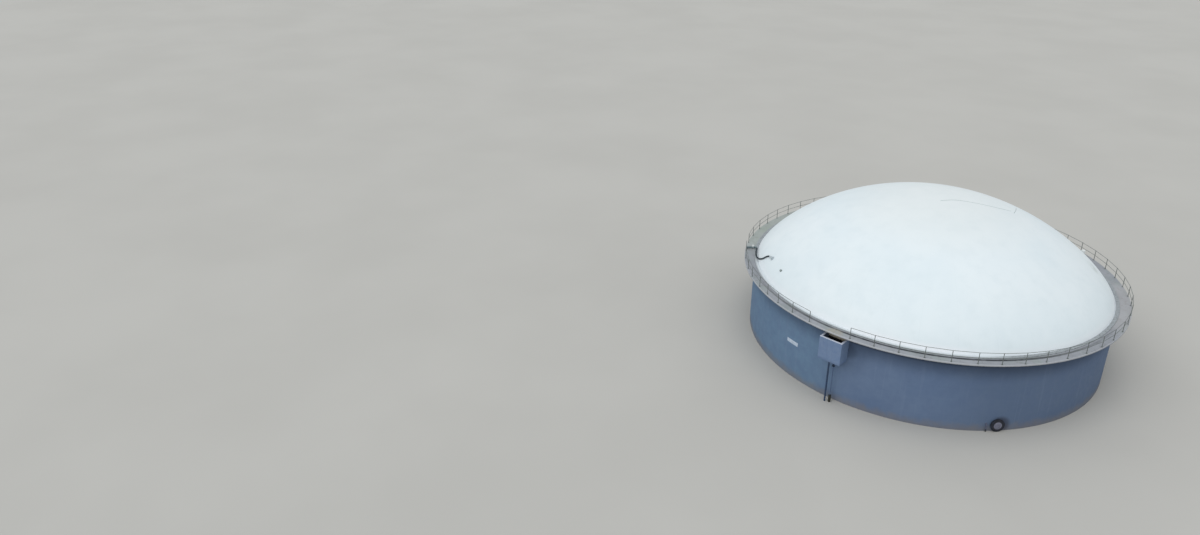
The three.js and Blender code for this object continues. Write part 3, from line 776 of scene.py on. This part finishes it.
on_dome = [dome_point(*spot) for spot in HOSE_ON_DOME]
stub_start = dome_point(SPIGOT_RADIUS, SPIGOT_ANGLE, STUB_LIFT)
stub_out = (on_dome[-1] - stub_start).normalized()
hose_start = elbow_end + elbow_out * (ELBOW_COLLAR + GAP)
hose_end = stub_start + stub_out * (STUB_REACH + GAP)
hose_route = (
    [hose_start, hose_start + elbow_out * HOSE_STRAIGHT]
    + [ring(radius, angle, CLAMP_TOP + lift) for radius, angle, lift in HOSE_ON_RING]
    + on_dome
    + [hose_end + stub_out * HOSE_STRAIGHT, hose_end]
)


def smooth_line(route, steps):
    """Catmull-Rom curve through the points of a route."""
    first = route[0] * 2 - route[1]
    last = route[-1] * 2 - route[-2]
    points = [first] + route + [last]
    line = []
    for i in range(1, len(points) - 2):
        a, b, c, d = points[i - 1 : i + 3]
        slope = c - a
        bend = 2 * a - 5 * b + 4 * c - d
        change = 3 * b - a - 3 * c + d
        for k in range(steps):
            t = k / steps
            line.append(0.5 * (2 * b + slope * t + bend * t**2 + change * t**3))
    line.append(route[-1].copy())
    return line


def along(line):
    """Distance of each point along a line."""
    total = [0.0]
    for a, b in zip(line, line[1:]):
        total.append(total[-1] + (b - a).length)
    return total


def ribbed_radius(walked):
    """Radius of the hose at a distance along it."""
    return HOSE_RADIUS - RIB_DEPTH * (0.5 + 0.5 * math.cos(2 * math.pi * walked / RIB_PITCH))


hose_line = smooth_line(hose_route, HOSE_STEPS)
hose_walked = along(hose_line)
hose_radii = [ribbed_radius(walked) for walked in hose_walked]
hose = Shape().swept(hose_line, hose_radii, HOSE_SIDES)
hose = hose.piece("gas_hose_body", "hose_fabric", "gas_hose", sharp=70)

clips = Shape()
for start, direction in ((hose_start, elbow_out), (hose_end, stub_out)):
    for offset in CLIP_OFFSETS:
        place = aimed(start + direction * offset, direction)
        low, high = -CLIP_WIDTH / 2, CLIP_WIDTH / 2
        clips.washer(CLIP_INNER, CLIP_OUTER, low, high, 32, place)
        clips.block((HOSE_RADIUS, -LUG_WIDTH / 2, low), (LUG_OUTER, LUG_WIDTH / 2, high), place)
hose_clips = clips.piece("hose_clips", "galvanised")


# Tank

SECTOR_ANGLE = 360 / SECTORS
SECTOR_STEPS = 60
CONCRETE_EDGE = 0.012
UNDERSIDE = WALL_TOP + GAP
GROOVE_TOP = UNDERSIDE + 0.015

wall_profile = rectangle(INNER_RADIUS, WALL_RADIUS, 0, WALL_TOP)
# The slab has a drip groove along the underside of its outer edge
deck_profile = [
    (INNER_RADIUS, UNDERSIDE),
    (WALKWAY_RADIUS - 0.078, UNDERSIDE),
    (WALKWAY_RADIUS - 0.072, GROOVE_TOP),
    (WALKWAY_RADIUS - 0.054, GROOVE_TOP),
    (WALKWAY_RADIUS - 0.048, UNDERSIDE),
    (WALKWAY_RADIUS, UNDERSIDE),
    (WALKWAY_RADIUS, WALKWAY_TOP),
    (INNER_RADIUS, WALKWAY_TOP),
]
for i in range(SECTORS):
    start = FIRST_JOINT + i * SECTOR_ANGLE
    for name, profile, slot, node in (
        ("wall_face", wall_profile, "wall_paint", "wall"),
        ("walkway_deck", deck_profile, "walkway_concrete", "walkway"),
    ):
        part = Shape()
        part.turned(profile, SECTOR_STEPS, None, CONCRETE_EDGE, start, SECTOR_ANGLE)
        part.piece(f"{name}_{i + 1}", slot, f"{node}_{i + 1}")

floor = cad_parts["floor_slab"]
floor.data.materials.clear()
floor.data.materials.append(LOOKS["floor_concrete"])


# Railing

POST_TOP = RAIL_HEIGHT + 0.004
POST_SIDES = 20
RAIL_SIDES = 16
RAIL_END_GAP = 0.0005
WELD_WIDTH = 0.007
WELD_HEIGHT = 0.008
BEAD_WIDTH = 0.005
BEAD_LENGTH = 0.007
FOOT_PLATE_HALF = 0.06
FOOT_PLATE_THICKNESS = 0.008
FOOT_BOLT_OFFSETS = (-0.042, 0.042)
FOOT_BOLT_SIZE = 0.012


def post_angle(index):
    return FIRST_POST + index * POST_PITCH + POST_SHIFTS.get(index, 0)


def add_post(tubes, fasteners, index):
    """Adds a post with a rounded top, welded to a foot plate with four bolts."""
    foot = ring(POST_CIRCLE, post_angle(index), DECK)
    place = Matrix.Translation(foot) @ Matrix.Rotation(math.radians(post_angle(index)), 4, "Z")
    post = [(0, 0), (POST_RADIUS, 0), (POST_RADIUS, POST_TOP - 0.012)]
    post += [(0.6 * POST_RADIUS, POST_TOP - 0.002), (0, POST_TOP)]
    tubes.turned(post, POST_SIDES, place)
    half, face = FOOT_PLATE_HALF, FOOT_PLATE_THICKNESS
    tubes.block((-half, -half, 0), (half, half, face), place)
    weld = [(POST_RADIUS, face), (POST_RADIUS + WELD_WIDTH, face)]
    weld += [(POST_RADIUS, face + WELD_HEIGHT)]
    tubes.turned(weld, POST_SIDES, place)
    for x in FOOT_BOLT_OFFSETS:
        for y in FOOT_BOLT_OFFSETS:
            fasteners.bolt(place @ Matrix.Translation((x, y, face)), FOOT_BOLT_SIZE)


def add_rails(tubes, index, stops_short):
    """Adds the two rails from a post to the next one, with a weld bead at their start."""
    for height in (RAIL_HEIGHT - RAIL_RADIUS, RAIL_HEIGHT / 2):
        start = ring(POST_CIRCLE, post_angle(index), WALKWAY_TOP + height)
        end = ring(POST_CIRCLE, post_angle(index + 1), WALKWAY_TOP + height)
        run = (end - start).normalized()
        if stops_short:
            end -= run * (POST_RADIUS + RAIL_END_GAP)
        tubes.swept([start, end], [RAIL_RADIUS, RAIL_RADIUS], RAIL_SIDES)
        bead = [(RAIL_RADIUS, 0), (RAIL_RADIUS + BEAD_WIDTH, 0), (RAIL_RADIUS, BEAD_LENGTH)]
        tubes.turned(bead, RAIL_SIDES, aimed(start + run * (POST_RADIUS - 0.002), run))


def railing_section(number, first, last, reaches_next):
    """Makes one section. Its last rails may reach to the first post of the next section."""
    tubes = Shape()
    fasteners = Shape()
    for i in range(first, last + 1):
        add_post(tubes, fasteners, i)
        if i < last or reaches_next:
            add_rails(tubes, i, i == last)
    tubes.piece(f"rail_{number}_tubes", "galvanised", f"railing_{number}")
    fasteners.piece(f"rail_{number}_bolts", "galvanised")


for i in range(LONG_RUN_SECTIONS):
    first = round(i * LONG_RUN_POSTS / LONG_RUN_SECTIONS)
    last = round((i + 1) * LONG_RUN_POSTS / LONG_RUN_SECTIONS) - 1
    railing_section(i + 1, first, last, last < LONG_RUN_POSTS - 1)
railing_section(LONG_RUN_SECTIONS + 1, LONG_RUN_POSTS, SHORT_RUN_LAST, False)


# Dome, with its skirt under the clamp ring

DOME_SIDES = 384
OUTER_ROWS = 60
INNER_ROWS = 20
ROW_CROWDING = 1.15


def dome_row(rows, offset):
    """Profile from the foot to the crown, closer together where the dome is steep."""
    result = []
    for k in range(rows + 1):
        share = math.cos(math.pi / 2 * (k / rows) ** ROW_CROWDING)
        z = DECK + (DOME_RISE - offset) * (1 - share**2) ** DOME_POWER
        result.append(((DOME_RADIUS - offset) * share, z))
    result[-1] = (0.0, DECK + DOME_RISE - offset)
    return result


skirt = [(CLAMP_INNER - 0.001, DECK), (CLAMP_INNER - 0.001, DECK + 0.006)]
skirt += [(DOME_RADIUS + 0.012, DECK + 0.009), (DOME_RADIUS + 0.001, DECK + 0.03)]
outer = [(r, z) for r, z in dome_row(OUTER_ROWS, 0) if z > DECK + 0.05]
inner = dome_row(INNER_ROWS, DOME_SHELL)
dome = Shape().turned(list(reversed(inner)) + skirt + outer, DOME_SIDES)
dome.piece("dome_fabric", "membrane", "membrane_dome", sharp=50)


# Sewn strip near the crown, seen as a thin grey line

STRIP_LINE = [(0.50, -0.65), (1.31, 0.43), (2.62, 1.41), (3.91, 2.45), (4.75, 3.45)]
STRIP_TICK = [(5.05, 3.32), (4.80, 4.45), (4.41, 5.70)]
STRIP_STEPS = 12
# Section of the strip: share of its half width, and height over the fabric
STRIP_SECTION = [(-1, -0.004), (-1, 0.0015), (0, 0.005), (1, 0.0015), (1, -0.004)]


def dome_strip(shape, line, half_width):
    """Adds a low crowned band along a line of (x, y) points on the dome."""
    route = smooth_line([Vector((x, y, 0)) for x, y in line], STRIP_STEPS)
    points = []
    for k, point in enumerate(route):
        run = route[min(k + 1, len(route) - 1)] - route[max(k - 1, 0)]
        side = Vector((-run.y, run.x, 0)).normalized()
        for across, lift in STRIP_SECTION:
            spot = point + side * (across * half_width)
            radius = math.hypot(spot.x, spot.y)
            points.append(dome_point(radius, math.degrees(math.atan2(spot.y, spot.x)), lift))
    count = len(STRIP_SECTION)
    faces = [list(range(count)), [len(points) - 1 - j for j in range(count)]]
    for here in range(0, len(points) - count, count):
        for j in range(count):
            n = (j + 1) % count
            faces.append([here + j, here + count + j, here + count + n, here + n])
    shape.add(points, faces)


strip = Shape()
dome_strip(strip, STRIP_LINE, half_width=0.03)
dome_strip(strip, STRIP_TICK, half_width=0.02)
strip.piece("dome_strip", "membrane", look="strip", sharp=60)


# Clamp ring

CLAMP_FACE = CLAMP_TOP - 0.012
CLAMP_SHOULDER = CLAMP_TOP - 0.03
CLAMP_SLOPE = 0.012
CLAMP_BOLTS = 224
CLAMP_BOLT_SIZE = 0.016
# From where to where the gas pipe covers the ring, so that it has no bolts there
PIPE_ON_RING = (-151.6, -148.6)

clamp_profile = [
    (CLAMP_INNER, DECK),
    (CLAMP_OUTER, DECK),
    (CLAMP_OUTER, CLAMP_SHOULDER),
    (CLAMP_OUTER - CLAMP_SLOPE, CLAMP_FACE),
    (CLAMP_INNER + CLAMP_SLOPE, CLAMP_FACE),
    (CLAMP_INNER, CLAMP_SHOULDER),
]
clamp = Shape().turned(clamp_profile, DOME_SIDES, edge=0.006)
clamp.piece("clamp_band", "clamp_metal", "clamp_ring")
clamp_bolts = Shape()
middle = (CLAMP_INNER + CLAMP_OUTER) / 2
for i in range(CLAMP_BOLTS):
    angle = 360 * (i + 0.5) / CLAMP_BOLTS - 180
    if not PIPE_ON_RING[0] < angle < PIPE_ON_RING[1]:
        clamp_bolts.bolt(Matrix.Translation(ring(middle, angle, CLAMP_FACE)), CLAMP_BOLT_SIZE)
clamp_bolts.piece("clamp_bolts", "clamp_metal")


# Gas spigot

# From here on, a fitting's lesser radii and heights stand where it is made, on its own axis
SPIGOT_TOP = 0.178


def dome_place(radius, angle):
    return aimed(dome_point(radius, angle, 0), dome_normal(radius, angle))


place = dome_place(SPIGOT_RADIUS, SPIGOT_ANGLE)
spigot = Shape()
spigot.rod(0.075, -0.06, 0.16, 40, place, 0.004)
spigot.washer(0.074, 0.1, 0.148, 0.159, 40, place, 0.002)
lid = [(0, 0.161), (0.115, 0.161), (0.115, SPIGOT_TOP), (0.05, SPIGOT_TOP)]
lid += [(0.045, 0.186), (0, 0.186)]
spigot.turned(lid, 40, place, 0.003)
patch = [(0.073, -0.02), (0.2, -0.02), (0.2, 0.005), (0.09, 0.008), (0.073, 0.011)]
spigot.turned(patch, 40, place, 0.003)
stub = [(0, 0.03), (0.06, 0.03), (0.06, 0.396), (0.073, 0.398)]
stub += [(0.073, STUB_REACH), (0, STUB_REACH)]
spigot.turned(stub, 32, aimed(stub_start, stub_out), 0.003)
spigot.piece("spigot_body", "spigot_paint", "gas_spigot")
spigot_bolts = Shape().bolts(raised(place, SPIGOT_TOP), 0.096, 8, 0.012)
spigot_bolts.piece("spigot_bolts", "galvanised")


# Dome port

PORT_TOP = 0.098
place = dome_place(PORT_RADIUS, PORT_ANGLE)
port = Shape()
port.rod(0.07, -0.06, 0.08, 36, place, 0.004)
port.rod(0.088, 0.08, PORT_TOP, 36, place, 0.004)
patch = [(0.068, -0.02), (0.11, -0.02), (0.11, 0.004), (0.068, 0.01)]
port.turned(patch, 36, place, 0.003)
port.piece("port_body", "port_paint", "dome_port")
port_bolts = Shape().bolts(raised(place, PORT_TOP), 0.072, 6, 0.01)
port_bolts.piece("port_bolts", "galvanised")


# Vent

VENT_CIRCLE = 14.8
VENT_ANGLE = 54
place = Matrix.Translation(ring(VENT_CIRCLE, VENT_ANGLE, DECK))
vent = Shape()
stem = [(0, 0), (0.13, 0), (0.13, 0.012), (0.09, 0.02), (0.09, 0.33), (0, 0.33)]
vent.turned(stem, 40, place, 0.004)
hood = [(0, 0.33), (0.175, 0.33), (0.175, 0.46), (0.15, 0.52), (0.08, 0.548), (0, 0.55)]
vent.turned(hood, 40, place, 0.008)
vent.piece("vent_body", "white_paint", "vent")


# Gas pipe

GAS_FLANGE_RADIUS = 0.14
GAS_BOLT_CIRCLE = 0.116
pipe = Shape()
pipe_start = GAS_PIPE_START + pipe_out * (GAS_FLANGE / 2)
pipe_line = [pipe_start] + elbow_line + [elbow_end + elbow_out * ELBOW_COLLAR]
pipe.swept(pipe_line, [GAS_PIPE_RADIUS] * len(pipe_line), 32)
place = aimed(GAS_PIPE_START, pipe_out)
pipe.rod(GAS_FLANGE_RADIUS, 0, GAS_FLANGE, 40, place, 0.003)
for spot, out in ((elbow_start, pipe_out), (elbow_end, -elbow_out)):
    crest, foot = GAS_PIPE_RADIUS + 0.003, GAS_PIPE_RADIUS - 0.002
    pipe.turned([(foot, -0.006), (crest, 0), (foot, 0.006)], 32, aimed(spot + out * 0.004, out))
pipe.piece("gas_pipe_body", "gas_pipe_paint", "gas_pipe")
pipe_bolts = Shape().bolts(raised(place, GAS_FLANGE), GAS_BOLT_CIRCLE, 8, 0.014, 22.5)
pipe_bolts.piece("gas_pipe_bolts", "galvanised")


# Gas valve

VALVE_ALONG_PIPE = 0.58
place = Matrix.Translation(GAS_PIPE_START + pipe_out * VALVE_ALONG_PIPE)
valve = Shape()
valve.rod(0.085, 0.03, 0.12, 32, place, 0.006)
valve.rod(0.095, 0.12, 0.145, 32, place, 0.004)
bonnet = [(0, 0.145), (0.085, 0.145), (0.08, 0.19), (0.06, 0.21), (0.03, 0.22), (0, 0.22)]
valve.turned(bonnet, 32, place, 0.006)
valve.piece("gas_valve_body", "white_paint", "gas_valve")


# Overflow box: three walls against the tank, on a floor

ARC_STEPS = 12
FLOOR_TOP = BOX_BOTTOM + BOX_WALL


def wall_y(x):
    """How far out the tank's wall stands at a distance to the side of the box's middle."""
    return -math.sqrt((WALL_RADIUS + GAP) ** 2 - x * x)


walls_plan = [
    (-BOX_HALF, BOX_FRONT),
    (BOX_HALF, BOX_FRONT),
    (BOX_HALF, wall_y(BOX_HALF)),
    (CHAMBER_HALF, wall_y(CHAMBER_HALF)),
    (CHAMBER_HALF, CHAMBER_FRONT),
    (-CHAMBER_HALF, CHAMBER_FRONT),
    (-CHAMBER_HALF, wall_y(CHAMBER_HALF)),
    (-BOX_HALF, wall_y(BOX_HALF)),
]
floor_plan = [(BOX_HALF, BOX_FRONT)]
half_arc = math.degrees(math.asin(BOX_HALF / WALL_RADIUS))
for k in range(ARC_STEPS + 1):
    point = ring(WALL_RADIUS + GAP, -90 + half_arc - 2 * half_arc * k / ARC_STEPS)
    floor_plan.append((point.x, point.y))
floor_plan.append((-BOX_HALF, BOX_FRONT))

box = Shape()
box.prism(walls_plan, FLOOR_TOP, BOX_TOP)
box.prism(floor_plan, BOX_BOTTOM, FLOOR_TOP)
box.piece("box_trough", "box_paint", "overflow_box", bevel=0.012)


# Overflow pipe

OVERFLOW_PIPE_PLACE = (-0.16, -15.02, 0)
OVERFLOW_PIPE_RADIUS = 0.064
PIPE_BANDS = (BOX_BOTTOM - 0.03, 1.9)
place = Matrix.Translation(OVERFLOW_PIPE_PLACE)
down_pipe = Shape()
down_pipe.rod(OVERFLOW_PIPE_RADIUS, 0, BOX_BOTTOM - GAP, 32, place)
for z in PIPE_BANDS:
    down_pipe.washer(0.062, 0.075, z - 0.014, z + 0.014, 32, place, 0.003)
down_pipe.piece("overflow_pipe_body", "dark_pipe_paint", "overflow_pipe")


# Drain pipe with a flanged valve

DRAIN_PIPE_PLACE = (0.155, -14.87, 0)
DRAIN_PIPE_RADIUS = 0.032
DRAIN_FLANGES = (3.15, 3.364)
FLANGE_THICKNESS = 0.017
FLANGE_PAIR = 0.036
SOCKET_TOP = 0.6
place = Matrix.Translation(DRAIN_PIPE_PLACE)
drain = Shape()
drain.rod(DRAIN_PIPE_RADIUS, SOCKET_TOP + GAP, BOX_BOTTOM - GAP, 28, place)
drain_bolts = Shape()
for z in DRAIN_FLANGES:
    for bottom in (z, z + FLANGE_PAIR - FLANGE_THICKNESS):
        drain.washer(0.031, 0.11, bottom, bottom + FLANGE_THICKNESS, 36, place, 0.003)
    drain_bolts.bolts(raised(place, z + FLANGE_PAIR), 0.092, 8, 0.012, 22.5)
body = [(0, 3.18), (0.06, 3.18), (0.078, 3.21), (0.078, 3.34), (0.06, 3.37), (0, 3.37)]
drain.turned(body, 36, place, 0.01)
drain.piece("drain_pipe_body", "dark_pipe_paint", "drain_pipe", look="drain")
drain_bolts.piece("drain_bolts", "galvanised")


# Drain socket

socket = Shape()
rim = [(0, 0), (0.1, 0), (0.1, 0.54), (0.105, 0.545), (0.105, 0.595), (0.098, SOCKET_TOP)]
rim += [(0.08, SOCKET_TOP), (0.07, 0.57), (0, 0.57)]
socket.turned(rim, 36, place, 0.004)
socket.piece("socket_body", "rusted_steel", "drain_socket")


# Bare name plate, bent to the wall, with a bar along its top and bottom

PLATE_LOW, PLATE_HIGH = 2.86, 3.18
PLATE_FROM, PLATE_TO = -108.9, -104.1
PLATE_BACK = WALL_RADIUS + GAP
PLATE_FACE = PLATE_BACK + 0.005
PLATE_STEPS = 16
BAR_ENDS = 0.01
SCREW_FROM_END = 0.16
SCREW_FROM_EDGE = 0.045

plate = Shape()
sheet = rectangle(PLATE_BACK, PLATE_FACE, PLATE_LOW, PLATE_HIGH)
sweep = PLATE_TO - PLATE_FROM
plate.turned(sheet, PLATE_STEPS, None, 0.002, PLATE_FROM, sweep)
for z in (PLATE_LOW + 0.012, PLATE_HIGH - 0.012):
    bar = rectangle(PLATE_FACE - 0.001, PLATE_FACE + 0.003, z - 0.01, z + 0.01)
    plate.turned(bar, PLATE_STEPS, start=PLATE_FROM + BAR_ENDS, sweep=sweep - 2 * BAR_ENDS)
plate.piece("plate_face", "plate_paint", "name_plate")
screws = Shape()
head = [(0, 0), (0.007, 0), (0.0065, 0.002), (0.004, 0.0028), (0, 0.0028)]
middle = (PLATE_FROM + PLATE_TO) / 2
for angle in (PLATE_FROM + SCREW_FROM_END, middle, PLATE_TO - SCREW_FROM_END):
    for z in (PLATE_LOW + SCREW_FROM_EDGE, PLATE_HIGH - SCREW_FROM_EDGE):
        screws.turned(head, 14, aimed(ring(PLATE_FACE, angle, z), ring(1, angle)))
screws.piece("plate_screws", "galvanised")


# Manhole neck

MANHOLE_ANGLE = -41.95
MANHOLE_HEIGHT = 0.54
MANHOLE_SIDES = 72
NECK_RADIUS = 0.43
NECK_FLANGE = 0.52
FLANGE_BACK = 0.113
FLANGE_FACE = 0.165
NECK_BOLT_CIRCLE = 0.482
NECK_BOLTS = 20
NECK_BOLT_SIZE = 0.018

place = aimed(ring(WALL_RADIUS, MANHOLE_ANGLE, MANHOLE_HEIGHT), ring(1, MANHOLE_ANGLE))
neck = Shape()
neck.rod(NECK_RADIUS, -0.02, 0.12, MANHOLE_SIDES, place, 0.003)
neck.washer(0.42, NECK_FLANGE, FLANGE_BACK, 0.138, MANHOLE_SIDES, place, 0.004)
neck.rod(NECK_FLANGE, 0.14, FLANGE_FACE, MANHOLE_SIDES, place, 0.004)
weld = [(0.428, 0.0005), (0.47, 0.0005), (0.465, 0.012), (0.428, 0.03)]
neck.turned(weld, MANHOLE_SIDES, place)
neck.piece("manhole_neck_body", "manhole_paint", "manhole_neck")
neck_bolts = Shape()
turned_back = raised(place, FLANGE_BACK) @ Matrix.Rotation(math.pi, 4, "X")
for seat in (raised(place, FLANGE_FACE), turned_back):
    neck_bolts.bolts(seat, NECK_BOLT_CIRCLE, NECK_BOLTS, NECK_BOLT_SIZE, 9)
neck_bolts.piece("manhole_bolts", "manhole_paint")


# Manhole cover

COVER_RADIUS = 0.3
COVER_RIBS = 6
cover = Shape()
dish = [(0, FLANGE_FACE + GAP), (COVER_RADIUS, FLANGE_FACE + GAP), (COVER_RADIUS, 0.19)]
dish += [(0.28, 0.21), (0.075, 0.21), (0.075, 0.24), (0.062, 0.245), (0, 0.245)]
cover.turned(dish, 64, place, 0.005)
for k in range(COVER_RIBS):
    turn = Matrix.Rotation(math.radians(360 / COVER_RIBS * k + 30), 4, "Z")
    cover.block((0.07, -0.01, 0.205), (0.27, 0.01, 0.224), place @ turn)
cover.piece("manhole_cover_body", "cover_paint", "manhole_cover", bevel=0.002)


# Short foot pipe, which starts on one of the flats that the solid's wall is made of

WALL_FLATS = 112
FLAT_DEPTH = 0.0057
FOOT_FACING = -90 + 13.5 * 360 / WALL_FLATS
FOOT_SIDEWAYS = 0.37
FOOT_REACH = 0.1
FOOT_HEIGHT = 0.64
FOOT_BEND = 0.08
FOOT_BEND_STEPS = 16
FOOT_RADIUS = 0.04


def foot_spot(reach, z):
    """Point at a distance from the flat of the wall that the pipe starts on."""
    flat = ring(WALL_RADIUS - FLAT_DEPTH + reach, FOOT_FACING, z)
    return flat + ring(FOOT_SIDEWAYS, FOOT_FACING + 90)


foot_line = [foot_spot(GAP, FOOT_HEIGHT)]
for k in range(FOOT_BEND_STEPS + 1):
    turn = math.pi / 2 * k / FOOT_BEND_STEPS
    reach = FOOT_REACH - FOOT_BEND * (1 - math.sin(turn))
    foot_line.append(foot_spot(reach, FOOT_HEIGHT - FOOT_BEND * (1 - math.cos(turn))))
foot_line.append(foot_spot(FOOT_REACH, 0))
foot = Shape().swept(foot_line, [FOOT_RADIUS] * len(foot_line), 28)
place = aimed(foot_spot(0.004, FOOT_HEIGHT), ring(1, FOOT_FACING))
weld = [(0.038, 0.0005), (0.07, 0.0005), (0.068, 0.01), (0.04, 0.018)]
foot.turned(weld, 32, place)
foot.piece("foot_pipe_body", "dark_pipe_paint", "foot_pipe", look="foot")


# Stage

STAGE_RADIUS = 1500
STAGE_SIDES = 64
stage_mesh = bpy.data.meshes.new("stage")
rim = [tuple(ring(STAGE_RADIUS, 360 * k / STAGE_SIDES)) for k in range(STAGE_SIDES)]
stage_mesh.from_pydata(rim, [], [list(range(STAGE_SIDES))])
stage = bpy.data.objects.new("stage", stage_mesh)
stage_mesh.materials.append(LOOKS["stage"])
bpy.context.collection.objects.link(stage)


bpy.context.view_layer.update()
